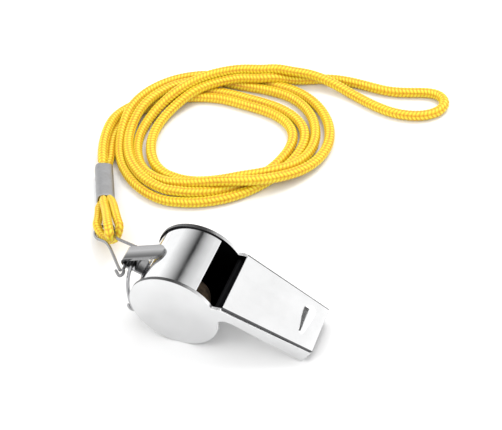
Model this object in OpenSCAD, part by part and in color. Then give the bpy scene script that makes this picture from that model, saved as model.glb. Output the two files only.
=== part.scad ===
// Pea whistle of folded sheet steel, with a split ring, a wire clip and a knitted lanyard.
// The whistle rests on its two round side plates and on the lower edge of its mouthpiece.
// +X runs from the lug to the mouthpiece, +Z is up, and the floor is z = 0.
// The origin is on the floor, under the middle of the whistle.

/* [Barrel] */
// Diameter of the two round side plates
plate_d = 20; // [19.8:0.1:20.2]
// Width over the outside of both side plates
body_w = 16.2; // [15.8:0.1:17]
// Thickness of a side plate
plate_t = 0.8; // [0.6:0.1:0.9]
// Outside diameter of the rolled barrel strip
barrel_d = 19.2; // [19:0.1:19.4]
// Thickness of the barrel strip, the mouthpiece roof and the lug
sheet_t = 0.6; // [0.4:0.1:0.7]
// Angle of the sharp lip, from the mouthpiece side
lip_angle = 73; // [70:1:76]
// Angle at which the strip folds out into the mouthpiece floor
fold_angle = 36; // [34:1:38]

/* [Mouthpiece] */
// Where the roof starts, behind the window
roof_x0 = 9; // [8.8:0.1:9.4]
// Height of the roof's upper face at its start
roof_z0 = 8.3; // [8.2:0.1:8.5]
// Reach of the mouthpiece's tip from the barrel axis
tip_x = 29.4; // [28.5:0.1:30]
// Height of the roof's upper face at the tip
tip_z = 5.2; // [5:0.1:5.5]
// Half width of the roof at its start
roof_half_w0 = 7.55; // [7.4:0.05:7.7]
// Half width of the roof at the tip
roof_half_w1 = 5.8; // [5.6:0.05:5.9]
// How far the lower edge of the tip is set back
tip_setback = 0.9; // [0.5:0.1:1.2]
// Height of the lower edge of the tip
tip_low_z = 0.5; // [0.3:0.1:0.8]

/* [Bite ridge] */
// Distance of the ridge from the barrel axis
ridge_x = 25.6; // [25:0.1:26.5]
// Length of the ridge across the roof, between its round ends
ridge_len = 5.8; // [5:0.1:6.5]
// Radius of the ridge's round back
ridge_r = 1.1; // [1:0.1:1.3]
// Height of the ridge above the roof
ridge_h = 0.5; // [0.3:0.1:0.7]

/* [Pea] */
// Diameter of the cork pea
pea_d = 8.4; // [7.5:0.1:8.6]

/* [Lug] */
// Distance of the lug's rear fold behind the barrel axis
lug_x = 13.4; // [13.2:0.1:13.6]
// Height of the lug's rear fold, below the barrel axis
lug_drop = 0.2; // [0:0.1:0.4]
// Outside radius of the rear fold
lug_fold_r = 1.5; // [1.4:0.1:1.6]
// Width of the lug
lug_w = 3.9; // [3.7:0.1:4.4]

/* [Split ring] */
// Diameter at the middle of the ring's wire
ring_d = 13.2; // [12.8:0.1:13.2]
// Thickness of the ring's wire
ring_wire = 0.8; // [0.7:0.1:0.9]
// Distance of the ring behind the barrel axis
ring_x = 11.4; // [11.3:0.1:11.5]
// Height of the top of the ring's wire line
ring_top_z = 14.4; // [14.4:0.1:14.6]

/* [Wire clip] */
// Thickness of the clip's wire
clip_wire = 0.7; // [0.5:0.1:0.7]
// Slope of the clip, down from its lug end to its cord end
clip_slope = 29; // [28:1:30]

/* [Lanyard] */
// Diameter of the knitted cord
cord_d = 2.5; // [2.3:0.1:2.6]
// Outside radius of the coil
coil_r = 28.6; // [28:0.1:29]
// Radius of the hole in the coil
coil_hole_r = 16; // [15:0.1:16.5]
// Height of the coil, two cords lying on each other
coil_h = 5.2; // [5:0.1:5.4]
// Width of the crimped sleeve
crimp_w = 4.4; // [4.2:0.1:5]
// Height of the crimped sleeve
crimp_h = 3.8; // [3.6:0.1:4]
// Wall of the crimped sleeve
crimp_t = 0.5; // [0.4:0.1:0.6]

/* [Hidden] */
$fn = 96;

plate_r = plate_d / 2;
barrel_r = barrel_d / 2;
chamber_r = barrel_r - sheet_t;
inner_half_w = body_w / 2 - plate_t;

// The lower corner of the tip, which stands on the floor, and the pitch that brings it there.
tip_low = [tip_x - tip_setback, tip_low_z];
pitch = asin(plate_r / norm(tip_low)) + atan2(tip_low[1], tip_low[0]);

// The bench frame's origin is under the middle of the whistle, from the lug's fold to the tip.
fold_pos = [-lug_x, -lug_drop];
rear_x = pitched(fold_pos)[0] - lug_fold_r;
front_x = pitched([tip_x, tip_z])[0];
mid_x = (rear_x + front_x) / 2;

// Slopes of the roof and the floor, and how far the side plates' tails lean in.
roof_slope = atan2(roof_z0 - tip_z, tip_x - roof_x0);
fold_point = barrel_r * [cos(fold_angle), sin(fold_angle)];
floor_slope = atan2(fold_point[1] - tip_low[1], tip_low[0] - fold_point[0]);
tail_x0 = 8.6;
tail_lean = atan2(body_w / 2 - roof_half_w1 - 0.1, tip_x - tail_x0);
tail_joint_gap = 0.03;
tail_lap = 0.03;

// The lug's upper leg runs from the fold to the barrel, which it touches.
lug_reach = barrel_r - lug_fold_r + sheet_t;
lug_slope = asin(lug_reach / norm(fold_pos)) + atan2(lug_drop, lug_x);
lug_normal = [-sin(lug_slope), cos(lug_slope)];
lug_leg = [cos(lug_slope), sin(lug_slope)];
lug_tip_back = 0.7;

// The clip's wire: [across, out from the lug, up from the plane through its line in the lug].
clip_off_fold = 0.45;
clip_axis = pitched(fold_pos) - clip_off_fold * [cos(clip_slope), sin(clip_slope)];
clip_route = [[-3.1, 2.5, 0], [-5.2, 0.1, 0], [-4.9, -0.8, 0], [-3.9, -0.5, 0],
              [-3, 0, 0], [3, 0, 0], [3.7, 0.8, 0], [8.2, 9.1, -0.1], [11.9, 13.1, -0.9], [15.1, 16.1, -1.3],
              [16.1, 18.4, -1.4], [16.5, 20.8, -1.7], [16.1, 22.6, -1.9], [14.7, 22.3, -1.7],
              [11.9, 19.4, -1.3], [7, 11.6, -0.3], [-2.1, 2.3, 0], [-3.6, 0.6, 0]];

// Ends of the crimped sleeve's axis, on the floor behind the lug.
crimp_low = [-41.5, 25.3];
crimp_high = [-47.1, 35.7];
crimp_run = crimp_high - crimp_low;

// Middle of the coil, and of the hole in it.
coil_mid = [-22.5, 55];
hole_mid = [-22.5, 52.5];

// Route points of the cord where it is not coiled.
lead_upper = [[-47.2, 35.7, 2.8], [-50, 41.5, 3.2], [-51.5, 46.5, 3.2], [-52.2, 51.5, 3], [-51.5, 56.5, 2.2],
              [-49.5, 61, 1.6], [-46, 65, 1.3]];
lead_lower = [[-46.8, 36, 1.3], [-48.6, 42, 1.3], [-50.2, 46.5, 1.3], [-50.8, 51.5, 1.3], [-50, 56, 1.3],
              [-47.8, 60.5, 1.3], [-44.5, 63.5, 1.3]];
bight = [[-9.5, 80.8, 1.3], [-2.5, 83, 1.3], [5.5, 82.5, 1.3], [14, 81, 1.3], [21, 82.5, 1.3],
         [26, 83.5, 1.3], [29, 80.5, 1.3], [28.5, 76.5, 1.3], [24, 73.5, 1.3], [17.5, 73, 1.3],
         [11, 75, 1.3], [4.5, 78, 1.3], [-2.5, 80.4, 2.6], [-9.5, 80.8, 4]];
loop_outer = [[-43.5, 26.2, 1.3], [-42.4, 23.5, 1.7], [-41.2, 20.9, 2.2], [-40, 18.3, 2.9],
              [-38.8, 15.8, 3.7], [-36.7, 13.7, 3.7], [-34.3, 12.1, 4], [-31.8, 12, 5.3],
              [-31.2, 13.7, 7.2], [-32.9, 16.1, 7.3], [-34.6, 18.4, 6.5], [-36.2, 20.6, 5.6],
              [-37.9, 22.8, 4.5], [-39.6, 25, 3.5], [-41.6, 27, 2.7]];
loop_inner = [[-42.8, 26.4, 3], [-41.3, 24.2, 4], [-39.8, 22.1, 5], [-38.2, 19.9, 5.9], [-36.7, 17.8, 6.9],
              [-35.2, 15.6, 7.9], [-33.8, 13.4, 8.8], [-32.4, 11.4, 9.4], [-31.5, 10, 9.1],
              [-31.2, 9.5, 8.1], [-31.7, 10.2, 7.1], [-33, 11.6, 6.4], [-34.2, 13.3, 5.5],
              [-35.1, 15.1, 3.8], [-36.5, 17.1, 2.6], [-38.1, 19.3, 2], [-39.5, 21.8, 1.4],
              [-40.7, 24.3, 1.2], [-41.8, 26.8, 1.1]];
route_steps = 2;
cord_sides = 8;

// The small loops are pulled thin by the clip, and stand in an upright plane with this normal.
loop_d = 2;
loop_flank = [0.86, 0.5, 0];

// Place of a point of the level whistle once it is pitched onto the floor.
function pitched(p) =
    [p[0] * cos(pitch) + p[1] * sin(pitch), p[1] * cos(pitch) - p[0] * sin(pitch) + plate_r];

// Points of an arc about a centre.
function arc(c, r, a0, a1, n = 24) =
    [for (i = [0:n]) let (a = a0 + (a1 - a0) * i / n) c + r * [cos(a), sin(a)]];

// A smooth curve through route points, with steps points for each stretch.
function between(p, i) = [p[max(i - 1, 0)], p[i], p[i + 1], p[min(i + 2, len(p) - 1)]];
function blend(q, t) = (2 * q[1] + (q[2] - q[0]) * t + (2 * q[0] - 5 * q[1] + 4 * q[2] - q[3]) * t * t
                        + (3 * q[1] - q[0] - 3 * q[2] + q[3]) * t * t * t) / 2;
function smooth(p, steps) = [for (i = [0:len(p) - 2]) for (k = [0:steps - 1]) blend(between(p, i), k / steps),
                             p[len(p) - 1]];
function unit(v) = v / norm(v);
function heading(p, i) = unit(p[min(i + 1, len(p) - 1)] - p[max(i - 1, 0)]);

// One ring of a tube, about point c, facing along h. The tube never runs along flank.
function tube_ring(c, h, r, flank) =
    let (side = unit(cross(h, flank)), up = cross(side, h))
    [for (k = [0:cord_sides - 1])
        c + r * (side * cos(360 * (k + 0.5) / cord_sides) + up * sin(360 * (k + 0.5) / cord_sides))];

module tube(route, d, flank = [0, 0, 1]) {
    path = smooth(route, route_steps);
    rings = [for (i = [0:len(path) - 1]) tube_ring(path[i], heading(path, i), d / 2, flank)];
    points = [for (ring = rings) for (p = ring) p];
    last = (len(path) - 1) * cord_sides;
    walls = [for (i = [0:len(path) - 2]) for (k = [0:cord_sides - 1])
        let (a = i * cord_sides + k, b = i * cord_sides + (k + 1) % cord_sides)
        each [[a, a + cord_sides, b + cord_sides], [a, b + cord_sides, b]]];
    start = [[for (k = [0:cord_sides - 1]) k]];
    end = [[for (k = [cord_sides - 1:-1:0]) last + k]];
    polyhedron(points, concat(walls, start, end));
}

// Turns the level whistle nose-down onto the floor and centres it.
module rested() {
    translate([-mid_x, 0, plate_r]) rotate([0, pitch, 0]) children();
}

// Moves what is placed about the barrel axis to the bench frame.
module centred() {
    translate([-mid_x, 0, 0]) children();
}

// Extrudes an outline drawn as [x, z] by a width across Y.
module across(w) {
    rotate([90, 0, 0]) linear_extrude(w, center = true) children();
}

// Plan outline of the mouthpiece between two half widths.
module plan(half_w0, half_w1, x0, x1) {
    translate([0, 0, -plate_d]) linear_extrude(2 * plate_d)
        polygon([[x0, -half_w0], [x1, -half_w1], [x1, half_w1], [x0, half_w0]]);
}

function floor_half_w(x) = inner_half_w - tail_joint_gap - max(0, x - tail_x0) * tan(tail_lean);

module strip_outline() {
    floor_up = sheet_t * [sin(floor_slope), cos(floor_slope)];
    polygon(concat(
        arc([0, 0], barrel_r, lip_angle, fold_angle + 360, 96),
        [tip_low, tip_low + floor_up, fold_point + floor_up + [0.3, -0.07]],
        arc([0, 0], chamber_r, fold_angle + 360, lip_angle + 4, 96)));
}

module barrel_strip() {
    color("gainsboro") rested() intersection() {
        across(2 * (inner_half_w - tail_joint_gap)) strip_outline();
        union() {
            plan(plate_r, plate_r, -plate_r, tail_x0);
            plan(floor_half_w(tail_x0), floor_half_w(tip_x), tail_x0, tip_x);
        }
    }
}

module tail_outline() {
    under = sheet_t / cos(roof_slope) + 0.02;
    polygon([[6, 3.4], [7.2, 7.1], [roof_x0, roof_z0 - under], [tip_x - 0.1, tip_z - under], tip_low,
             [12.4, 4.5], [10.8, 4.6], [9.9, 4.2], [9.3, 3.5]]);
}

// The part of the tail's outline from one x to another.
module tail_between(x0, x1) {
    intersection() {
        tail_outline();
        translate([x0, -plate_d]) square([x1 - x0, 2 * plate_d]);
    }
}

module side_plate(side) {
    color("silver") rested() union() {
        translate([0, side * (body_w - plate_t) / 2, 0]) {
            rotate([90, 0, 0]) cylinder(h = plate_t, r = plate_r, center = true, $fn = 128);
            across(plate_t) tail_between(0, tail_x0);
        }
        translate([tail_x0, side * body_w / 2, 0]) rotate([0, 0, -side * tail_lean])
            translate([-tail_x0, -side * plate_t / 2, 0])
                across(plate_t) tail_between(tail_x0 - tail_lap, tip_x);
    }
}

module side_plate_left() {
    side_plate(1);
}

module side_plate_right() {
    side_plate(-1);
}

module roof_outline() {
    polygon([[roof_x0, roof_z0 - sheet_t], [roof_x0, roof_z0], [tip_x - 0.3, tip_z + 0.3 * tan(roof_slope)],
             [tip_x, tip_z - 0.2], [tip_x - 0.1, tip_z - sheet_t / cos(roof_slope)]]);
}

module bite_ridge() {
    sunk = ridge_r - ridge_h;
    ridge_z = tip_z + (tip_x - ridge_x) * tan(roof_slope) - sunk;
    translate([ridge_x, 0, ridge_z]) {
        rotate([90, 0, 0]) cylinder(h = ridge_len, r = ridge_r, center = true, $fn = 48);
        for (side = [-1, 1]) translate([0, side * ridge_len / 2, 0]) sphere(ridge_r, $fn = 48);
    }
}

module above_roof() {
    across(body_w)
        polygon([[roof_x0, roof_z0 - 0.3], [roof_x0, roof_z0 + 3], [tip_x, tip_z + 3], [tip_x, tip_z - 0.3]]);
}

module mouthpiece_roof() {
    color("whitesmoke") rested() union() {
        intersection() {
            across(body_w) roof_outline();
            plan(roof_half_w0, roof_half_w1, roof_x0, tip_x);
        }
        intersection() {
            bite_ridge();
            above_roof();
        }
    }
}

module lug_outline() {
    outer_r = lug_fold_r;
    inner_r = lug_fold_r - sheet_t;
    touch = barrel_r * lug_normal - lug_tip_back * lug_leg;
    low_angle = 180 + asin((lug_drop + outer_r) / barrel_r);
    high_angle = 180 + asin((lug_drop + inner_r) / barrel_r);
    polygon(concat(
        [touch, touch + sheet_t * lug_normal],
        arc(fold_pos, outer_r, 90 + lug_slope, 270, 20),
        arc([0, 0], barrel_r + 0.02, low_angle, high_angle, 4),
        arc(fold_pos, inner_r, 270, 90 + lug_slope, 20)));
}

module lug() {
    tongue_x = -9;
    color("darkgray") rested() intersection() {
        across(lug_w) lug_outline();
        union() {
            translate([-20, -lug_w / 2, -10]) cube([20 + tongue_x, lug_w, 20]);
            translate([tongue_x, 0, -10]) cylinder(h = 20, r = lug_w / 2, $fn = 48);
        }
    }
}

module pea() {
    rest_z = plate_r - chamber_r + pea_d / 2 + 0.1;
    color("peru") centred() translate([0, 0, rest_z]) sphere(pea_d / 2);
}

module split_ring() {
    turn_gap = 0.47 * ring_wire;
    color("gray") centred() translate([-ring_x, 0, ring_top_z - ring_d / 2]) rotate([0, 90, 0])
        for (turn = [-1, 1]) translate([0, 0, turn * turn_gap])
            rotate_extrude() translate([ring_d / 2, 0]) circle(ring_wire / 2, $fn = 24);
}

module wire_clip() {
    color("dimgray") centred() translate([clip_axis[0], 0, clip_axis[1]]) rotate([0, -clip_slope, 0])
        rotate([0, 0, 90]) tube(clip_route, clip_wire);
}

module oval(w, h) {
    r = h / 2;
    square([w - h, h], center = true);
    for (side = [-1, 1]) translate([side * (w - h) / 2, 0]) circle(r, $fn = 48);
}

module along_crimp() {
    translate([crimp_low[0], crimp_low[1], crimp_h / 2 + 0.02])
        rotate([-90, 0, atan2(crimp_run[1], crimp_run[0]) - 90]) linear_extrude(norm(crimp_run)) children();
}

module crimp_sleeve() {
    color("lightgray") along_crimp() difference() {
        oval(crimp_w, crimp_h);
        oval(crimp_w - 2 * crimp_t, crimp_h - 2 * crimp_t);
    }
}

module cord_in_sleeve() {
    color("goldenrod") along_crimp() oval(crimp_w - 2 * crimp_t, crimp_h - 2 * crimp_t);
}

module cord_loop_outer() {
    color("gold") tube(loop_outer, loop_d, loop_flank);
}

module cord_loop_inner() {
    color("gold") tube(loop_inner, loop_d, loop_flank);
}

module cord_lead_upper() {
    color("gold") tube(lead_upper, cord_d);
}

module cord_lead_lower() {
    color("gold") tube(lead_lower, cord_d);
}

module cord_coil() {
    color("gold") difference() {
        translate([coil_mid[0], coil_mid[1], 0]) cylinder(h = coil_h, r = coil_r);
        translate([hole_mid[0], hole_mid[1], -1]) cylinder(h = coil_h + 2, r = coil_hole_r);
    }
}

module cord_bight() {
    color("gold") tube(bight, cord_d);
}

barrel_strip();
side_plate_left();
side_plate_right();
mouthpiece_roof();
lug();
pea();
split_ring();
wire_clip();
crimp_sleeve();
cord_in_sleeve();
cord_loop_outer();
cord_loop_inner();
cord_lead_upper();
cord_lead_lower();
cord_coil();
cord_bight();
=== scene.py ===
import math

import bmesh
import bpy
import numpy as np
from mathutils import Matrix, Vector, noise


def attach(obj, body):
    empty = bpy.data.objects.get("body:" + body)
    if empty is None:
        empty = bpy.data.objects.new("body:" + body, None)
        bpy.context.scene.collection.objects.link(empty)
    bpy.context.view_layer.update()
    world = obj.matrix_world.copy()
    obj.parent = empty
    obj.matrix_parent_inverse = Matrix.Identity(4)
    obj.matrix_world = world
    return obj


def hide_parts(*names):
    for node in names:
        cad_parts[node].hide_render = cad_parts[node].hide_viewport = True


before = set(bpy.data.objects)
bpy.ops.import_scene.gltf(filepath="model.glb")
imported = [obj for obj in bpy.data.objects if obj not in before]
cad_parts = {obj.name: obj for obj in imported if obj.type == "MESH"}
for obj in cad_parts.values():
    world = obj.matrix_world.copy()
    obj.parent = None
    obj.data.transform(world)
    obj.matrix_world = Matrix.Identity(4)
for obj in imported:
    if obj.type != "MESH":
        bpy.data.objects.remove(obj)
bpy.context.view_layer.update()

MM = 0.001
scene = bpy.context.scene

# ---------------------------------------------------------------- camera

CAMERA_POS = (77.30, -132.50, 184.06)
CAMERA_RIGHT = (0.9303, 0.3496, -0.1111)
CAMERA_UP = (-0.1772, 0.6936, 0.6983)
SENSOR_WIDTH, LENS = 36, 78.9
camera = bpy.data.objects.new("camera", bpy.data.cameras.new("camera"))
scene.collection.objects.link(camera)
right, up = Vector(CAMERA_RIGHT).normalized(), Vector(CAMERA_UP)
up = (up - up.dot(right) * right).normalized()
back = right.cross(up)
camera.matrix_world = Matrix((
    (right.x, up.x, back.x, CAMERA_POS[0] * MM),
    (right.y, up.y, back.y, CAMERA_POS[1] * MM),
    (right.z, up.z, back.z, CAMERA_POS[2] * MM),
    (0, 0, 0, 1),
))
camera.data.sensor_width = SENSOR_WIDTH
camera.data.lens = LENS
camera.data.clip_start, camera.data.clip_end = 0.005, 20
scene.camera = camera


# ---------------------------------------------------------------- mesh helpers

def link(name, mesh):
    o = bpy.data.objects.new(name, mesh)
    scene.collection.objects.link(o)
    return o


def from_arrays(name, verts_mm, faces, smooth=True):
    """An object from points in millimetres in the bench frame."""
    mesh = bpy.data.meshes.new(name)
    mesh.from_pydata((np.asarray(verts_mm, float) * MM).tolist(), [], faces)
    mesh.validate()
    mesh.polygons.foreach_set("use_smooth", [smooth] * len(mesh.polygons))
    mesh.update()
    return link(name, mesh)


def spline(points, steps):
    """Catmull-Rom curve through rows of numbers."""
    p = np.array(points, float)
    q = np.vstack([2 * p[0] - p[1], p, 2 * p[-1] - p[-2]])
    t = np.arange(steps)[:, None] / steps
    out = []
    for i in range(1, len(q) - 2):
        a, b, c, d = q[i - 1], q[i], q[i + 1], q[i + 2]
        out.append(0.5 * (2 * b + (c - a) * t + (2 * a - 5 * b + 4 * c - d) * t ** 2
                          + (3 * b - a - 3 * c + d) * t ** 3))
    return np.vstack(out + [p[-1:]])


def along(line):
    return np.concatenate([[0], np.cumsum(np.linalg.norm(np.diff(line, axis=0), axis=1))])


def spaced(line, step):
    """The line again with points a step apart."""
    s = along(line)
    at = np.linspace(0, s[-1], max(2, int(round(s[-1] / step)) + 1))
    return np.stack([np.interp(at, s, line[:, k]) for k in range(line.shape[1])], axis=1)


def headings(line):
    h = np.gradient(line, axis=0)
    return h / np.linalg.norm(h, axis=1)[:, None]


def tube(name, line, sides, radius, closed_ends=True, twist=None):
    """A tube along line. radius(ring index array, angle array) gives each point's distance."""
    h = headings(line)
    side = np.zeros_like(line)
    seed = np.array([0.0, 0, 1]) if abs(h[0][2]) < 0.9 else np.array([1.0, 0, 0])
    side[0] = np.cross(h[0], seed)
    side[0] /= np.linalg.norm(side[0])
    for i in range(1, len(line)):
        v = side[i - 1] - side[i - 1].dot(h[i]) * h[i]
        side[i] = v / np.linalg.norm(v)
    over = np.cross(h, side)
    angle = np.arange(sides) * 2 * math.pi / sides
    turn = angle[None, :] + (0 if twist is None else twist[:, None])
    r = radius(np.arange(len(line))[:, None], turn)
    points = (line[:, None, :] + r[..., None] * (np.cos(turn)[..., None] * side[:, None, :]
                                                 + np.sin(turn)[..., None] * over[:, None, :]))
    i, k = np.meshgrid(np.arange(len(line) - 1), np.arange(sides), indexing="ij")
    a, b = i * sides + k, i * sides + (k + 1) % sides
    faces = np.stack([a, b, b + sides, a + sides], axis=-1).reshape(-1, 4).tolist()
    if closed_ends:
        last = (len(line) - 1) * sides
        faces += [list(range(sides - 1, -1, -1)), list(range(last, last + sides))]
    return from_arrays(name, points.reshape(-1, 3), faces)


def bevel(o, width_mm, segments=3, angle=35):
    m = o.modifiers.new("edges", "BEVEL")
    m.width, m.segments, m.limit_method = width_mm * MM, segments, "ANGLE"
    m.angle_limit = math.radians(angle)
    m.harden_normals = True
    return o


def ramp01(x, a, b):
    t = np.clip((np.asarray(x, float) - a) / (b - a), 0, 1)
    return t * t * (3 - 2 * t)


# ---------------------------------------------------------------- cord route, in millimetres as in part.scad

crimp_low, crimp_high = np.array([-41.5, 25.3]), np.array([-47.1, 35.7])
crimp_run = crimp_high - crimp_low
crimp_len = float(np.linalg.norm(crimp_run))
crimp_dir = crimp_run / crimp_len
crimp_side = np.array([crimp_dir[1], -crimp_dir[0]])
crimp_mid_z = 1.92
cord_d, loop_d = 2.5, 2.0

lead_upper = [[-47.2, 35.7, 2.8], [-50, 41.5, 3.2], [-51.5, 46.5, 3.2], [-52.2, 51.5, 3], [-51.5, 56.5, 2.2],
              [-49.5, 61, 1.6], [-46, 65, 1.3]]
lead_lower = [[-46.8, 36, 1.3], [-48.6, 42, 1.3], [-50.2, 46.5, 1.3], [-50.8, 51.5, 1.3], [-50, 56, 1.3],
              [-47.8, 60.5, 1.3], [-44.5, 63.5, 1.3]]
bight = [[-9.5, 80.8, 1.3], [-2.5, 83, 1.3], [5.5, 82.5, 1.3], [14, 81, 1.3], [21, 82.5, 1.3],
         [26, 83.5, 1.3], [29, 80.5, 1.3], [28.5, 76.5, 1.3], [24, 73.5, 1.3], [17.5, 73, 1.3],
         [11, 75, 1.3], [4.5, 78, 1.3], [-2.5, 80.4, 2.6], [-9.5, 80.8, 4]]
loop_outer = [[-43.5, 26.2, 1.3], [-42.4, 23.5, 1.7], [-41.2, 20.9, 2.2], [-40, 18.3, 2.9],
              [-38.8, 15.8, 3.7], [-36.7, 13.7, 3.7], [-34.3, 12.1, 4], [-31.8, 12, 5.3],
              [-31.2, 13.7, 7.2], [-32.9, 16.1, 7.3], [-34.6, 18.4, 6.5], [-36.2, 20.6, 5.6],
              [-37.9, 22.8, 4.5], [-39.6, 25, 3.5], [-41.6, 27, 2.7]]
loop_inner = [[-42.8, 26.4, 3], [-41.3, 24.2, 4], [-39.8, 22.1, 5], [-38.2, 19.9, 5.9], [-36.7, 17.8, 6.9],
              [-35.2, 15.6, 7.9], [-33.8, 13.4, 8.8], [-32.4, 11.4, 9.4], [-31.5, 10, 9.1],
              [-31.2, 9.5, 8.1], [-31.7, 10.2, 7.1], [-33, 11.6, 6.4], [-34.2, 13.3, 5.5],
              [-35.1, 15.1, 3.8], [-36.5, 17.1, 2.6], [-38.1, 19.3, 2], [-39.5, 21.8, 1.4],
              [-40.7, 24.3, 1.2], [-41.8, 26.8, 1.1]]

# The coil's two strands run side by side. Each row: angle round the coil, distance of the pair from its
# middle, the pair's height, the strands' spacing, and the tilt of the pair from flat.
coil_mid = np.array([-22.6, 55])
coil_turns = [
    (150, 23.2, 1.3, 2.5, 0), (132, 18.8, 1.3, 2.6, 0), (112, 16.2, 1.3, 2.6, 0), (90, 14.0, 1.3, 2.6, 0),
    (68, 14.4, 1.3, 2.7, 0), (45, 16.5, 1.3, 2.9, 0), (15, 19.8, 1.3, 3.0, 0), (-15, 19.6, 1.3, 2.8, 0),
    (-45, 20.3, 1.3, 2.5, 0), (-75, 22.4, 1.7, 2.5, -25), (-105, 25.0, 2.2, 2.6, -40),
    (-135, 25.3, 2.1, 2.6, -35), (-165, 25.7, 2.1, 2.7, -15), (-190, 25.7, 3.6, 2.7, 0),
    (-215, 24.5, 3.6, 2.6, 0), (-240, 22.8, 2.6, 2.5, 0), (-265, 21.4, 1.4, 2.5, 0),
    (-290, 22.4, 1.3, 2.6, 0), (-320, 24.5, 1.3, 3.0, 0), (-350, 25.6, 1.3, 3.6, 0),
    (-375, 24.8, 2.2, 2.8, 0), (-400, 21.6, 3.8, 2.5, 0), (-430, 18.6, 3.4, 2.4, 40),
    (-460, 19.6, 2.2, 2.9, 30), (-490, 20.6, 1.4, 3.2, 5), (-520, 20.4, 1.3, 3.5, 0),
    (-545, 19.8, 1.6, 3.2, 5), (-570, 19.0, 3.4, 2.7, 40), (-595, 19.4, 4.3, 2.4, 55),
    (-620, 21.2, 4.3, 2.4, 45), (-642, 23.4, 3.1, 2.4, 60)]


def coil_strands():
    pair = spline(coil_turns, 2)
    turn, tilt = np.radians(pair[:, 0]), np.radians(pair[:, 4])
    out = np.stack([np.cos(turn), np.sin(turn), 0 * turn], axis=1)
    middle = out * pair[:, 1:2] + np.append(coil_mid, 0)
    middle[:, 2] = pair[:, 2]
    shift = (out * np.cos(tilt)[:, None] + np.array([0, 0, 1]) * np.sin(tilt)[:, None]) * pair[:, 3:4] / 2
    return middle + shift, middle - shift


def in_crimp(t, across, z):
    """A point in the crimped sleeve, t from its low end to its high end."""
    p = crimp_low + crimp_dir * t + crimp_side * across
    return [p[0], p[1], z]


outer, inner = coil_strands()
cord_keys = np.vstack([
    [in_crimp(10.2, -0.8, 1.85), in_crimp(6.5, -0.8, 1.85), in_crimp(2, -0.9, 1.7)],
    loop_outer[1:-2], [in_crimp(1.2, 0.8, 2.6), in_crimp(5, 0.1, 2.6), in_crimp(8.5, -0.8, 2.6)],
    lead_upper[:-1], outer, bight[::-1], inner[::-1],
    lead_lower[::-1][1:], [in_crimp(8.5, 0.8, 1.4), in_crimp(5, 0.1, 2.3), in_crimp(1.2, -0.4, 2.6)],
    loop_inner[2:-1], [in_crimp(1.5, 0.7, 1.2), in_crimp(4.5, 0.7, 1.2), in_crimp(8, 0.6, 1.2)]])


CORD_STEP = 1.0
RING_SPACING = 0.165
FLOOR_GAP = 0.05
PUSH_PASSES, PUSH_SHARE, OWN_STEPS = 60, 0.35, 7
SMOOTH_PASSES = 6
SLEEVE_REACH = 16
HELD_PAST_SLEEVE, LOOSE_PAST_SLEEVE = 3, 0.5


def from_sleeve(line):
    """How far along the crimped sleeve each point of the line is, and how far off its axis."""
    t = (line[:, :2] - crimp_low) @ crimp_dir
    return t, np.linalg.norm(line[:, :2] - crimp_low - np.outer(t, crimp_dir), axis=1)


def smoothed(line, share):
    """The line's inner points, each moved a share of the way to the middle of its neighbours."""
    return (1 - share) * line[1:-1] + share / 2 * (line[:-2] + line[2:])


def settled(line, gap, floor):
    """Pushes apart strands that lie in each other, and lifts the cord onto the floor.

    The stretch by the sleeve is held where it is. The loose cord past it is then smoothed."""
    n = len(line)
    own = np.abs(np.arange(n)[:, None] - np.arange(n)[None, :]) < OWN_STEPS
    t, away = from_sleeve(line)
    held = (t < crimp_len + HELD_PAST_SLEEVE) & (away < SLEEVE_REACH)
    keep = line.copy()
    for _ in range(PUSH_PASSES):
        d = line[:, None, :] - line[None, :, :]
        far = np.sqrt((d * d).sum(-1)) + 1e-9
        push = np.where(own, 0, np.clip(gap - far, 0, None))
        line = line + PUSH_SHARE * (d / far[..., None] * push[..., None]).sum(1)
        line[1:-1] = smoothed(line, 0.1)
        line[:, 2] = np.maximum(line[:, 2], floor)
        line[held] = keep[held]
    loose = ((t > crimp_len + LOOSE_PAST_SLEEVE) | (away > SLEEVE_REACH))[1:-1, None]
    for _ in range(SMOOTH_PASSES):
        line[1:-1] = np.where(loose, smoothed(line, 0.5), line[1:-1])
    return line


cord_line = spaced(spline(cord_keys, 8), CORD_STEP)
cord_line = settled(cord_line, cord_d * 0.97, cord_d / 2 + FLOOR_GAP)
cord_line = spaced(spline(cord_line, 6), RING_SPACING)
cord_s = along(cord_line)


# ---------------------------------------------------------------- materials

def material(name):
    m = bpy.data.materials.new(name)
    m.use_nodes = True
    return m, m.node_tree, m.node_tree.nodes["Principled BSDF"]


def add(tree, kind, **values):
    n = tree.nodes.new(kind)
    for k, v in values.items():
        if k in n.inputs:
            n.inputs[k].default_value = v
        else:
            setattr(n, k, v)
    return n


def ramp(tree, source, stops):
    n = tree.nodes.new("ShaderNodeValToRGB")
    e = n.color_ramp.elements
    while len(e) < len(stops):
        e.new(0.5)
    for element, (at, colour) in zip(e, stops):
        element.position = at
        element.color = (*colour, 1) if isinstance(colour, tuple) else (colour, colour, colour, 1)
    tree.links.new(source, n.inputs["Fac"])
    return n.outputs["Color"]


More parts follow.
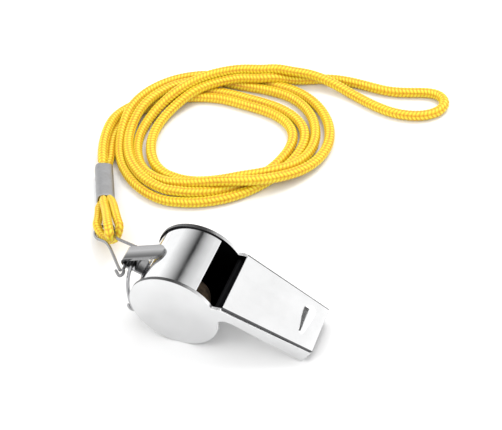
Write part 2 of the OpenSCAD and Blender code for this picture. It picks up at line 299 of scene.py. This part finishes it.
def metal(name, colour, rough, scratch=0.03, grain_scale=900.0, stretch=(1, 1, 1), low=0.93, painted_shade_bands=None):
    """Metal with smudges in its gloss and fine scratches.

    Painted shade bands are an axis and (millimetres, shade) along it: darker and lighter bands painted into
    the colour."""
    m, tree, bsdf = material(name)
    bsdf.inputs["Metallic"].default_value = 1
    coords = add(tree, "ShaderNodeTexCoord")
    mapping = add(tree, "ShaderNodeMapping", Scale=stretch)
    tree.links.new(coords.outputs["Object"], mapping.inputs["Vector"])
    smudge = add(tree, "ShaderNodeTexNoise", Scale=140.0, Detail=3.0, Roughness=0.6)
    tree.links.new(coords.outputs["Object"], smudge.inputs["Vector"])
    grain = add(tree, "ShaderNodeTexNoise", Scale=grain_scale, Detail=4.0, Roughness=0.7)
    tree.links.new(mapping.outputs["Vector"], grain.inputs["Vector"])
    dark = tuple(c * low for c in colour)
    base = ramp(tree, smudge.outputs["Fac"], [(0.3, dark), (0.65, colour)])
    # Painted shade: the colour is multiplied by bands of shade along one axis.
    if painted_shade_bands:
        axis, stops = painted_shade_bands
        place = add(tree, "ShaderNodeSeparateXYZ")
        tree.links.new(coords.outputs["Object"], place.inputs[0])
        first, last = stops[0][0], stops[-1][0]
        span = add(tree, "ShaderNodeMapRange")
        span.inputs["From Min"].default_value = first * MM
        span.inputs["From Max"].default_value = last * MM
        tree.links.new(place.outputs[axis], span.inputs["Value"])
        blend = add(tree, "ShaderNodeMix", data_type="RGBA", blend_type="MULTIPLY")
        blend.inputs["Factor"].default_value = 1
        tree.links.new(base, blend.inputs["A"])
        shades = [((at - first) / (last - first), shade) for at, shade in stops]
        tree.links.new(ramp(tree, span.outputs["Result"], shades), blend.inputs["B"])
        base = blend.outputs["Result"]
    tree.links.new(base, bsdf.inputs["Base Color"])
    mixed = add(tree, "ShaderNodeMath", operation="ADD")
    tree.links.new(smudge.outputs["Fac"], mixed.inputs[0])
    tree.links.new(grain.outputs["Fac"], mixed.inputs[1])
    spread = add(tree, "ShaderNodeMapRange")
    for k, v in {"From Min": 0.7, "From Max": 1.35, "To Min": rough * 0.7, "To Max": rough * 1.5}.items():
        spread.inputs[k].default_value = v
    tree.links.new(mixed.outputs[0], spread.inputs["Value"])
    tree.links.new(spread.outputs["Result"], bsdf.inputs["Roughness"])
    bump = add(tree, "ShaderNodeBump", Strength=scratch, Distance=0.0001)
    tree.links.new(grain.outputs["Fac"], bump.inputs["Height"])
    tree.links.new(bump.outputs["Normal"], bsdf.inputs["Normal"])
    return m


steel = metal("polished_steel", (0.80, 0.805, 0.81), 0.08, scratch=0.02, stretch=(1, 14, 1))
# Roof steel painted lighter than the barrel's: a lit copy of the same polished steel.
roof_steel_painted_lighter = metal("polished_roof_painted_lighter", (0.95, 0.952, 0.955), 0.10, scratch=0.02)
# Plate steel painted darker than the barrel's: a shaded copy of the same polished steel.
plate_steel_painted_darker = metal("polished_plate_painted_darker", (0.70, 0.703, 0.706), 0.18, scratch=0.02)
# Plate rims with painted shade: dark along the round rim, full brightness towards the mouthpiece.
rim_steel_painted_shade = metal("plate_rim_painted_shade", (0.86, 0.862, 0.865), 0.24, scratch=0.06, painted_shade_bands=("X", [(-4, 0.14), (1, 1.0)]))
# Roof edges: rougher steel, painted near black as shade.
edge_steel_painted_shade = metal("rough_edge_painted_shade", (0.10, 0.10, 0.103), 0.28, scratch=0.06)
# Near-black steel for the hidden insides of the whistle: painted shade of the closed chamber.
inside_painted_shade = metal("inside_painted_near_black", (0.012, 0.012, 0.013), 0.45, scratch=0.1)
# Satin lug with painted shade: a dark band just inside its near edge, lighter towards the far edge.
lug_steel_painted_band = metal("satin_lug_painted_shade", (0.46, 0.46, 0.465), 0.16, scratch=0.05, stretch=(14, 1, 1),
                  painted_shade_bands=("Y", [(-1.95, 0.6), (-1.4, 0.22), (-0.6, 0.45), (0.4, 0.95), (1.95, 0.8)]))
wire_steel = metal("drawn_wire", (0.22, 0.22, 0.225), 0.24, scratch=0.05)
ring_steel = metal("ring_wire", (0.40, 0.40, 0.41), 0.16, scratch=0.04)
crimp_metal = metal("matt_aluminium", (0.37, 0.37, 0.375), 0.52, scratch=0.12, grain_scale=1600.0)


def cork_material():
    m, tree, bsdf = material("cork")
    coords = add(tree, "ShaderNodeTexCoord")
    cells = add(tree, "ShaderNodeTexVoronoi", Scale=900.0)
    grain = add(tree, "ShaderNodeTexNoise", Scale=500.0, Detail=5.0)
    for n in (cells, grain):
        tree.links.new(coords.outputs["Object"], n.inputs["Vector"])
    # Cork brown, its darkest grains near black: the colour is darkened as painted shade of the pea inside the
    # chamber.
    tree.links.new(ramp(tree, grain.outputs["Fac"], [(0.32, (0.03, 0.02, 0.012)), (0.55, (0.13, 0.09, 0.055)),
                                                      (0.75, (0.20, 0.14, 0.09))]), bsdf.inputs["Base Color"])
    bsdf.inputs["Roughness"].default_value = 0.85
    bump = add(tree, "ShaderNodeBump", Strength=0.5, Distance=0.0002)
    tree.links.new(cells.outputs["Distance"], bump.inputs["Height"])
    tree.links.new(bump.outputs["Normal"], bsdf.inputs["Normal"])
    return m


def yarn_material():
    """Bright knitted yarn. The stitch attribute is 0 in the gaps between stitches and 1 on their backs."""
    m, tree, bsdf = material("knitted_yarn")
    coords = add(tree, "ShaderNodeTexCoord")
    stitch = add(tree, "ShaderNodeAttribute", attribute_name="stitch")
    fuzz = add(tree, "ShaderNodeTexNoise", Scale=2600.0, Detail=3.0, Roughness=0.65)
    patch = add(tree, "ShaderNodeTexNoise", Scale=160.0, Detail=2.0)
    for n in (fuzz, patch):
        tree.links.new(coords.outputs["Object"], n.inputs["Vector"])
    speckle = add(tree, "ShaderNodeMath", operation="MULTIPLY_ADD")
    speckle.inputs[1].default_value, speckle.inputs[2].default_value = 0.5, -0.25
    tree.links.new(fuzz.outputs["Fac"], speckle.inputs[0])
    height = add(tree, "ShaderNodeMath", operation="ADD")
    tree.links.new(stitch.outputs["Fac"], height.inputs[0])
    tree.links.new(speckle.outputs[0], height.inputs[1])
    # Painted shade: the gaps between stitches go darker orange, the stitches' backs yellow.
    body = ramp(tree, height.outputs[0], [(0.1, (0.46, 0.15, 0.0)), (0.42, (0.62, 0.30, 0.001)),
                                          (0.72, (0.70, 0.50, 0.005)), (1.0, (0.78, 0.71, 0.045))])
    tint = ramp(tree, patch.outputs["Fac"], [(0.35, (1.0, 0.93, 0.85)), (0.65, (1.0, 1.0, 1.0))])
    mix = add(tree, "ShaderNodeMix", data_type="RGBA", blend_type="MULTIPLY")
    mix.inputs["Factor"].default_value = 1
    tree.links.new(body, mix.inputs["A"])
    tree.links.new(tint, mix.inputs["B"])
    tree.links.new(mix.outputs["Result"], bsdf.inputs["Base Color"])
    bsdf.inputs["Roughness"].default_value = 0.55
    bsdf.inputs["Sheen Weight"].default_value = 0.12
    bsdf.inputs["Sheen Roughness"].default_value = 0.4
    bsdf.inputs["Sheen Tint"].default_value = (1, 0.85, 0.35, 1)
    bump = add(tree, "ShaderNodeBump", Strength=0.35, Distance=0.0001)
    tree.links.new(fuzz.outputs["Fac"], bump.inputs["Height"])
    tree.links.new(bump.outputs["Normal"], bsdf.inputs["Normal"])
    return m


cork, yarn = cork_material(), yarn_material()


def finish_piece(o, mats, body, stands_for=()):
    for m in mats if isinstance(mats, list) else [mats]:
        o.data.materials.append(m)
    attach(o, body)
    if stands_for:
        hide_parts(*stands_for)
    return o


# ---------------------------------------------------------------- knitted cord

STITCH, STITCH_LEAN = 0.92, 0.62
WALES = 6
CORD_SIDES, CORD_TWIST = 30, 0.012
PINCHED = 0.3
LOOPS_MID, LOOPS_R, LOOPS_FADE = np.array([-35, 14]), 8, 12
in_sleeve_t, off_sleeve = from_sleeve(cord_line)
near_sleeve = (off_sleeve < 4) & (cord_line[:, 2] < 4.2)
in_sleeve = ramp01(in_sleeve_t, -2.5, 0.3) * (1 - ramp01(in_sleeve_t, crimp_len - 0.3, crimp_len + 2.5))
pinch = np.where(near_sleeve, in_sleeve, 0)
from_loops = np.linalg.norm(cord_line[:, :2] - LOOPS_MID, axis=1)
near_clip = np.clip(1 - (from_loops - LOOPS_R) / LOOPS_FADE, 0, 1)
slim = 1 - (1 - loop_d / cord_d) * near_clip
cord_r = cord_d / 2 * slim * (1 - PINCHED * pinch)
stitch_value = {}


def knitted(ring, angle):
    """Chevrons: each wale's stitches lean the other way from its neighbours'."""
    wale = angle / (2 * math.pi) * WALES
    k = np.floor(wale)
    w = wale - k
    lean = np.where(k % 2 == 0, 1.0, -1.0)
    s = cord_s[ring] / STITCH + STITCH_LEAN * lean * (w - 0.5)
    p = s - np.floor(s)
    back = np.sqrt(np.clip(1 - (2 * p - 1) ** 2, 0, 1))
    wale_back = 1 - np.abs(2 * w - 1) ** 3.2
    high = back * (0.35 + 0.65 * wale_back)
    stitch_value["all"] = high
    return cord_r[ring] * (0.90 + 0.145 * high)


cord = tube("lanyard_cord", cord_line, CORD_SIDES, knitted, twist=cord_s * CORD_TWIST)
attribute = cord.data.attributes.new("stitch", "FLOAT", "POINT")
attribute.data.foreach_set("value", stitch_value["all"].astype(np.float32).ravel())
finish_piece(cord, yarn, "lanyard", ["cord_in_sleeve", "cord_loop_outer", "cord_loop_inner",
                                             "cord_lead_upper", "cord_lead_lower", "cord_coil", "cord_bight"])


# ---------------------------------------------------------------- whistle frame, as in part.scad

plate_r, body_w, plate_t = 10.0, 16.2, 0.8
barrel_r, sheet_t = 9.6, 0.6
chamber_r = barrel_r - sheet_t
inner_half_w = body_w / 2 - plate_t
lip_angle, fold_angle = 73, 36
roof_x0, roof_z0, tip_x, tip_z = 9.0, 8.3, 29.4, 5.2
roof_half_w0, roof_half_w1 = 7.55, 5.8
tip_low = np.array([tip_x - 0.9, 0.5])
lug_drop, lug_x, lug_fold_r, lug_w = 0.2, 13.4, 1.5, 3.9
pitch = math.asin(plate_r / np.linalg.norm(tip_low)) + math.atan2(tip_low[1], tip_low[0])
tail_x0 = 8.6
roof_slope = math.atan2(roof_z0 - tip_z, tip_x - roof_x0)
tail_slant = (body_w / 2 - roof_half_w1 - 0.1) / (tip_x - tail_x0)


def pitched(x, z):
    c, s = math.cos(pitch), math.sin(pitch)
    return x * c + z * s, z * c - x * s + plate_r


fold_pos = np.array([-lug_x, -lug_drop])
mid_x = (pitched(*fold_pos)[0] - lug_fold_r + pitched(tip_x, tip_z)[0]) / 2


def rested(points):
    """Points of the level whistle about its barrel axis, moved to the bench frame."""
    p = np.asarray(points, float)
    x, z = pitched(p[:, 0], p[:, 2])
    return np.stack([x - mid_x, p[:, 1], z], axis=1)


def polar(r, degrees):
    a = np.radians(degrees)
    return np.stack([r * np.cos(a), r * np.sin(a)], axis=-1)


def ribbon(name, outer, inner, half_w):
    """A strip of sheet between two lines of [x, z] points, with its half width at each."""
    n = len(outer)
    rows = []
    for o, i, w in zip(outer, inner, half_w):
        rows += [(o[0], w, o[1]), (i[0], w, i[1]), (i[0], -w, i[1]), (o[0], -w, o[1])]
    faces = [[0, 1, 2, 3], [4 * n - 1, 4 * n - 2, 4 * n - 3, 4 * n - 4]]
    for k in range(n - 1):
        for e in range(4):
            a, b = 4 * k + e, 4 * k + (e + 1) % 4
            faces.append([a, a + 4, b + 4, b])
    return from_arrays(name, rested(rows), faces)


# Barrel strip: round wall from the lip to the fold, then the mouthpiece floor.
def strip_half_w(p):
    return inner_half_w - 0.03 - max(0.0, p[0] - tail_x0) * tail_slant


wall = np.linspace(lip_angle, fold_angle + 360, 220)
fold_point = polar(barrel_r, fold_angle)
floor_dir = (tip_low - fold_point) / np.linalg.norm(tip_low - fold_point)
floor_up = np.array([-floor_dir[1], floor_dir[0]])
strip_outer = np.vstack([polar(barrel_r, wall[:-1]), fold_point + [[-0.02, 0.05], [0.25, -0.1]],
                         [fold_point + floor_dir * t for t in (0.9, 3, 8, 14)], [tip_low]])
strip_inner = np.vstack([polar(chamber_r, wall[:-1]),
                         fold_point + floor_up * sheet_t + [[-0.45, -0.25], [0.1, 0.0]],
                         [fold_point + floor_dir * t + floor_up * sheet_t for t in (0.9, 3, 8, 14)],
                         [tip_low + floor_up * sheet_t]])
strip_w = [strip_half_w(p) for p in strip_outer]
strip = ribbon("barrel_wall", strip_outer, strip_inner, strip_w)
# The inside of the chamber and the floor's upper side are painted near black as shade.
for p in strip.data.polygons:
    rows = {v // 4 for v in p.vertices}
    sides = {v % 4 for v in p.vertices}
    if sides == {1, 2} and len(rows) == 2:
        p.material_index = 1
bevel(strip, 0.12)
finish_piece(strip, [steel, inside_painted_shade], "whistle", ["barrel_strip"])


# Side plates: a round plate with a tail that leans in along the mouthpiece.
def flat_plate(name, outline, side):
    """A plate cut to an outline of [x, z] points, bent inwards where its tail starts."""
    mesh = bpy.data.meshes.new(name)
    bm = bmesh.new()
    y_out = side * body_w / 2
    face = bm.faces.new([bm.verts.new((p[0], y_out, p[1])) for p in outline])
    made = bmesh.ops.extrude_face_region(bm, geom=[face])
    for v in made["geom"]:
        if isinstance(v, bmesh.types.BMVert):
            v.co.y -= side * plate_t
    bmesh.ops.bisect_plane(bm, geom=bm.verts[:] + bm.edges[:] + bm.faces[:], dist=1e-5,
                           plane_co=(tail_x0, 0, 0), plane_no=(1, 0, 0))
    bmesh.ops.recalc_face_normals(bm, faces=bm.faces)
    for f in bm.faces:
        f.smooth = True
        facing = f.normal.y * side
        # Outer faces take the plate steel, inner faces the near-black painted shade, edges the rim steel with
        # its painted shade band.
        f.material_index = 0 if facing > 0.7 else 2 if facing < -0.7 else 1
    for v in bm.verts:
        v.co.y -= side * max(0.0, v.co.x - tail_x0) * tail_slant
        x, z = pitched(v.co.x, v.co.z)
        v.co = Vector((x - mid_x, v.co.y, z)) * MM
    bm.normal_update()
    bm.to_mesh(mesh)
    bm.free()
    return link(name, mesh)


roof_under = sheet_t / math.cos(roof_slope) + 0.02
disc_turn = np.linspace(44.6, 360 + 20.6, 240)
tail_points = [(9.6, 3.93), (9.92, 4.24), (10.35, 4.47), (10.85, 4.58), (11.5, 4.6), (12.4, 4.5),
               (20, 2.59), tuple(tip_low + [-0.12, 0.03]), tuple(tip_low + [0.02, 0.1]),
               (tip_x - 0.12, tip_z - roof_under - 0.12), (tip_x - 0.22, tip_z - roof_under + 0.01),
               (roof_x0, roof_z0 - roof_under), (8.2, 7.5), (7.55, 7.22)]
plate_outline = polar(plate_r, disc_turn).tolist() + tail_points
for label, side in (("left", 1), ("right", -1)):
    plate = flat_plate("plate_" + label, plate_outline, side)
    bevel(plate, 0.10, segments=4)
    finish_piece(plate, [plate_steel_painted_darker, rim_steel_painted_shade, inside_painted_shade], "whistle",
                 ["side_plate_" + label])

# Roof of the mouthpiece, with the ridge pressed up through it.
RIDGE_X, RIDGE_LEN, RIDGE_R, RIDGE_H = 25.6, 5.6, 1.3, 0.5
roof_xs = np.unique(np.concatenate([np.linspace(roof_x0, tip_x, 26),
                                    np.linspace(RIDGE_X - 1.5, RIDGE_X + 1.5, 31)]).round(4))
roof_vs = np.linspace(-1, 1, 91)


def roof_grid(lower):
    x, v = np.meshgrid(roof_xs, roof_vs, indexing="ij")
    y = v * np.interp(x, [roof_x0, tip_x], [roof_half_w0, roof_half_w1])
    z = np.interp(x, [roof_x0, tip_x], [roof_z0, tip_z])
    beyond = np.clip(np.abs(y) - RIDGE_LEN / 2, 0, None)
    size = 0.35 + 0.65 * ramp01(y, -RIDGE_LEN / 2 - RIDGE_R, RIDGE_LEN / 2)
    off = np.hypot(x - RIDGE_X, beyond) / RIDGE_R / size
    rise = RIDGE_H * size * np.clip(1.04 - off, 0, 0.9) / 0.9
    if lower:
        x, z, rise = x - 0.1, z - sheet_t / math.cos(roof_slope), rise * 0.9
    return np.stack([x, y, z + rise], axis=-1).reshape(-1, 3)


nx, ny = len(roof_xs), len(roof_vs)
roof_faces = []
for i in range(nx - 1):
    for j in range(ny - 1):
        a = i * ny + j
        roof_faces.append([a, a + ny, a + ny + 1, a + 1])
        roof_faces.append([k + nx * ny for k in (a + 1, a + ny + 1, a + ny, a)])
border = ([(i * ny, (i + 1) * ny) for i in range(nx - 1)]
          + [((nx - 1) * ny + j, (nx - 1) * ny + j + 1) for j in range(ny - 1)]
          + [((i + 1) * ny + ny - 1, i * ny + ny - 1) for i in range(nx - 1)]
          + [(j + 1, j) for j in range(ny - 1)])
roof_faces += [[b, a, a + nx * ny, b + nx * ny] for a, b in border]
roof = from_arrays("mouthpiece_top", rested(np.vstack([roof_grid(False), roof_grid(True)])), roof_faces)
for p in roof.data.polygons:
    column = [k % ny for k in p.vertices]
    rim = max(p.vertices) >= nx * ny or min(column) < 1 or max(column) > ny - 3
    rear = max(k % (nx * ny) for k in p.vertices) < ny
    # The underside and rear take the near-black painted shade, the side edges the dark painted edge shade.
    p.material_index = 1 if min(p.vertices) >= nx * ny or rear else 2 if rim else 0
bevel(roof, 0.16, segments=3, angle=50)
finish_piece(roof, [roof_steel_painted_lighter, inside_painted_shade, edge_steel_painted_shade], "whistle", ["mouthpiece_roof"])

# Lug: a strap folded back behind the barrel, its tongue rounded.
TONGUE_LEN = 2.2
lug_reach = barrel_r - lug_fold_r + sheet_t
lug_slope = math.asin(lug_reach / np.linalg.norm(fold_pos)) + math.atan2(lug_drop, lug_x)
lug_leg = np.array([math.cos(lug_slope), math.sin(lug_slope)])
lug_normal = np.array([-lug_leg[1], lug_leg[0]])
touch = barrel_r * lug_normal - 0.7 * lug_leg
fold_turn = np.linspace(90 + math.degrees(lug_slope), 270, 40)
fold_start = fold_pos + (lug_fold_r - sheet_t) * lug_normal
leg_len = float(np.linalg.norm(touch - fold_start))
leg_t = np.concatenate([TONGUE_LEN * (1 - np.cos(np.linspace(0.12, math.pi / 2, 14))),
                        np.linspace(2.6, leg_len - 0.1, 6)])
leg_inner = touch[None, :] - leg_t[:, None] * lug_leg
lower_x = np.array([-12.6, -11.6, -10.6, -9.75])
lug_inner = np.vstack([leg_inner, fold_pos + polar(lug_fold_r - sheet_t, fold_turn),
                       np.stack([lower_x, lower_x * 0 + fold_pos[1] - lug_fold_r + sheet_t], axis=1)])
lug_outer = np.vstack([leg_inner + sheet_t * lug_normal, fold_pos + polar(lug_fold_r, fold_turn),
                       np.stack([lower_x, lower_x * 0 + fold_pos[1] - lug_fold_r], axis=1)])
tongue = np.sqrt(np.clip(1 - (1 - leg_t / TONGUE_LEN).clip(0) ** 2, 0, 1)) * lug_w / 2
lug_half_w = np.concatenate([tongue, np.full(len(fold_turn) + len(lower_x), lug_w / 2)])
lug = ribbon("lanyard_lug", lug_outer, lug_inner, lug_half_w)
bevel(lug, 0.13)
finish_piece(lug, lug_steel_painted_band, "whistle", ["lug"])


# Cork pea, pitted.
def cork_ball(name, centre, radius):
    mesh = bpy.data.meshes.new(name)
    bm = bmesh.new()
    bmesh.ops.create_icosphere(bm, subdivisions=5, radius=1)
    for v in bm.verts:
        d = v.co.normalized()
        wave = noise.fractal(d * 2.2, 1.0, 2.0, 3)
        pit = max(0.0, noise.noise(d * 9.0) - 0.28)
        v.co = (Vector(centre) + d * radius * (1 + 0.012 * wave - 0.11 * pit)) * MM
    for f in bm.faces:
        f.smooth = True
    bm.to_mesh(mesh)
    bm.free()
    return link(name, mesh)


pea_d = 8.4
pea = cork_ball("cork_pea", (-mid_x, 0, plate_r - chamber_r + pea_d / 2 + 0.1), pea_d / 2 - 0.05)
finish_piece(pea, cork, "pea", ["pea"])


# ---------------------------------------------------------------- wire pieces

def wire(name, line, thick, sides=16):
    """A round wire along line, with rounded ends."""
    s = along(line)
    r = thick / 2
    end = r * (1 - np.cos(np.linspace(0.15, math.pi / 2, 6)))
    at = np.concatenate([end, np.arange(r * 1.4, s[-1] - r * 1.2, 0.16), s[-1] - end[::-1]])
    line = np.stack([np.interp(at, s, line[:, k]) for k in range(3)], axis=1)
    depth = np.minimum(at, s[-1] - at).clip(0, r)
    girth = np.sqrt(r * r - (r - depth) ** 2)
    return tube(name, line, sides, lambda ring, angle: girth[ring] + 0 * angle)


# Split ring: one wire wound twice, stepping over where the turns pass.
ring_d, ring_wire, ring_x, ring_top_z = 13.2, 0.8, 11.4, 14.4
turn_gap = 0.51 * ring_wire
turn = np.linspace(36, 684, 700)
step_over = -turn_gap + 2 * turn_gap * ramp01(turn, 326, 394)
ring_turn = np.radians(turn + 150)
ring_line = np.stack([-mid_x - ring_x + step_over, ring_d / 2 * np.cos(ring_turn),
                      ring_top_z - ring_d / 2 + ring_d / 2 * np.sin(ring_turn)], axis=1)
split_ring = wire("split_ring_wire", ring_line, ring_wire)
finish_piece(split_ring, ring_steel, "ring", ["split_ring"])

# Wire clip, bent in one plane that slopes down from the lug.
clip_slope = math.radians(29)
clip_axis = np.array(pitched(*fold_pos)) - 0.45 * np.array([math.cos(clip_slope), math.sin(clip_slope)])
clip_route = [[-3.1, 2.5, 0], [-5.2, 0.1, 0], [-4.9, -0.8, 0], [-3.9, -0.5, 0],
              [-3, 0, 0], [3, 0, 0], [3.7, 0.8, 0], [8.2, 9.1, -0.1], [11.9, 13.1, -0.9], [15.1, 16.1, -1.3],
              [16.1, 18.4, -1.4], [16.5, 20.8, -1.7], [16.1, 22.6, -1.9], [14.7, 22.3, -1.7],
              [11.9, 19.4, -1.3], [7, 11.6, -0.3], [-2.1, 2.3, 0], [-3.6, 0.6, 0]]
clip_flat = spline(clip_route, 12)
across, out, lift = clip_flat.T
clip_line = np.stack([clip_axis[0] - mid_x - out * math.cos(clip_slope) - lift * math.sin(clip_slope), across,
                      clip_axis[1] - out * math.sin(clip_slope) + lift * math.cos(clip_slope)], axis=1)
clip = wire("wire_hook", clip_line, 0.7)
finish_piece(clip, wire_steel, "lanyard", ["wire_clip"])

# Crimped sleeve: a flattened tube with two pressed bands, rolled a little about its own length.
CRIMP_W, CRIMP_H, CRIMP_T, CRIMP_ROLL = 4.4, 3.8, 0.5, math.radians(18)
CRIMP_LIFT, BAND_FROM_END, BAND_WIDTH, BAND_DEPTH = 0.25, 3.6, 0.9, 0.08
SQUARENESS = 3.4


def sleeve():
    turn = np.arange(64) * 2 * math.pi / 64
    stations = np.concatenate([[0, 0.06, 0.2, 0.5], np.linspace(1, crimp_len - 1, 40),
                               crimp_len - np.array([0.5, 0.2, 0.06, 0])])
    rings = []
    for wall_side in (1, -1):
        for t in stations if wall_side == 1 else stations[::-1]:
            from_end = min(t, crimp_len - t)
            press = BAND_DEPTH * (math.exp(-((t - BAND_FROM_END) / BAND_WIDTH) ** 2)
                                  + math.exp(-((t - crimp_len + BAND_FROM_END) / BAND_WIDTH) ** 2))
            edge = 0.16 * (1 - min(1, from_end / 0.25)) ** 2
            half_w = CRIMP_W / 2 + 0.3 * press - (edge if wall_side == 1 else CRIMP_T - edge)
            half_h = CRIMP_H / 2 - press - (edge if wall_side == 1 else CRIMP_T - edge)
            u = np.sign(np.cos(turn)) * np.abs(np.cos(turn)) ** (2 / SQUARENESS) * half_w
            w = np.sign(np.sin(turn)) * np.abs(np.sin(turn)) ** (2 / SQUARENESS) * half_h
            across = u * math.cos(CRIMP_ROLL) + w * math.sin(CRIMP_ROLL)
            high = w * math.cos(CRIMP_ROLL) - u * math.sin(CRIMP_ROLL)
            base = crimp_low + crimp_dir * t
            rings.append(np.stack([base[0] + crimp_side[0] * across, base[1] + crimp_side[1] * across,
                                   crimp_mid_z + CRIMP_LIFT + high], axis=1))
    n, k = len(rings), len(turn)
    faces = [[i * k + j, i * k + (j + 1) % k, (i + 1) % n * k + (j + 1) % k, (i + 1) % n * k + j]
             for i in range(n) for j in range(k)]
    return from_arrays("cord_sleeve", np.vstack(rings), faces)


crimp = sleeve()
finish_piece(crimp, crimp_metal, "lanyard", ["crimp_sleeve"])


# ---------------------------------------------------------------- studio

def shade_emission(name):
    """Light as strong as the mesh's shade attribute."""
    m = bpy.data.materials.new(name)
    m.use_nodes = True
    tree = m.node_tree
    tree.nodes.clear()
    out = add(tree, "ShaderNodeOutputMaterial")
    glow = add(tree, "ShaderNodeEmission")
    tree.links.new(glow.outputs["Emission"], out.inputs["Surface"])
    shade = add(tree, "ShaderNodeAttribute", attribute_name="shade")
    tree.links.new(shade.outputs["Color"], glow.inputs["Color"])
    return m


FLOOR_HALF, FLOOR_SHADE, SKY_STRENGTH = 3, 0.84, 1.25
floor_mesh = bpy.data.meshes.new("floor")
floor_corners = [(x * FLOOR_HALF, y * FLOOR_HALF, 0) for x, y in ((-1, -1), (1, -1), (1, 1), (-1, 1))]
floor_mesh.from_pydata(floor_corners, [], [(0, 1, 2, 3)])
floor = link("floor", floor_mesh)
floor_look, _, floor_bsdf = material("pale_floor")
floor_bsdf.inputs["Base Color"].default_value = (FLOOR_SHADE, FLOOR_SHADE, FLOOR_SHADE, 1)
floor_bsdf.inputs["Roughness"].default_value = 0.9
floor_bsdf.inputs["Specular IOR Level"].default_value = 0.2
floor.data.materials.append(floor_look)

# A dark-to-light screen behind and above, which only shows as the shading in the polished barrel.
SCREEN_R = 300.0
DARK_AT, DARK_HALF, DARKEST = 92, 2, 0.03
RISE, RISE_POWER = 0.043, 0.85
NEAR_SHADE = 1.0
screen_angle = np.linspace(40, 146, 90)
from_dark = np.clip(np.abs(screen_angle - DARK_AT) - DARK_HALF, 0, None)
brightest = np.where(screen_angle < DARK_AT, NEAR_SHADE, SKY_STRENGTH)
screen_shade = np.minimum(DARKEST + RISE * from_dark ** RISE_POWER, brightest)
screen_y = [70, 420]
rows = []
for a in np.radians(screen_angle):
    for y in screen_y:
        rows.append((-mid_x + SCREEN_R * math.cos(a), y, 20 + SCREEN_R * math.sin(a)))
screen_faces = [[2 * i, 2 * i + 1, 2 * i + 3, 2 * i + 2] for i in range(len(screen_angle) - 1)]
screen = from_arrays("screen", rows, screen_faces)
shade = screen.data.attributes.new("shade", "FLOAT", "POINT")
shade.data.foreach_set("value", np.repeat(screen_shade, 2).astype(np.float32))
screen.data.materials.append(shade_emission("screen_shades"))
screen.visible_camera = screen.visible_diffuse = screen.visible_shadow = False
screen.visible_transmission = screen.visible_volume_scatter = False

world = bpy.data.worlds.new("studio")
scene.world = world
world.use_nodes = True
sky = world.node_tree.nodes["Background"]
sky.inputs["Color"].default_value = (1, 1, 1, 1)
sky.inputs["Strength"].default_value = SKY_STRENGTH


def softbox(name, at_mm, size_mm, watts, aim_mm=(0, 20, 5)):
    light = bpy.data.lights.new(name, "AREA")
    light.shape, light.size, light.energy = "DISK", size_mm * MM, watts
    o = link(name, light)
    o.location = Vector(at_mm) * MM
    o.rotation_euler = (o.location - Vector(aim_mm) * MM).to_track_quat("Z", "Y").to_euler()
    return o


softbox("key", (120, 260, 520), 260, 1.3)
softbox("fill", (-260, -240, 380), 320, 0.5)

scene.view_settings.view_transform = "Standard"
scene.view_settings.look = "None"
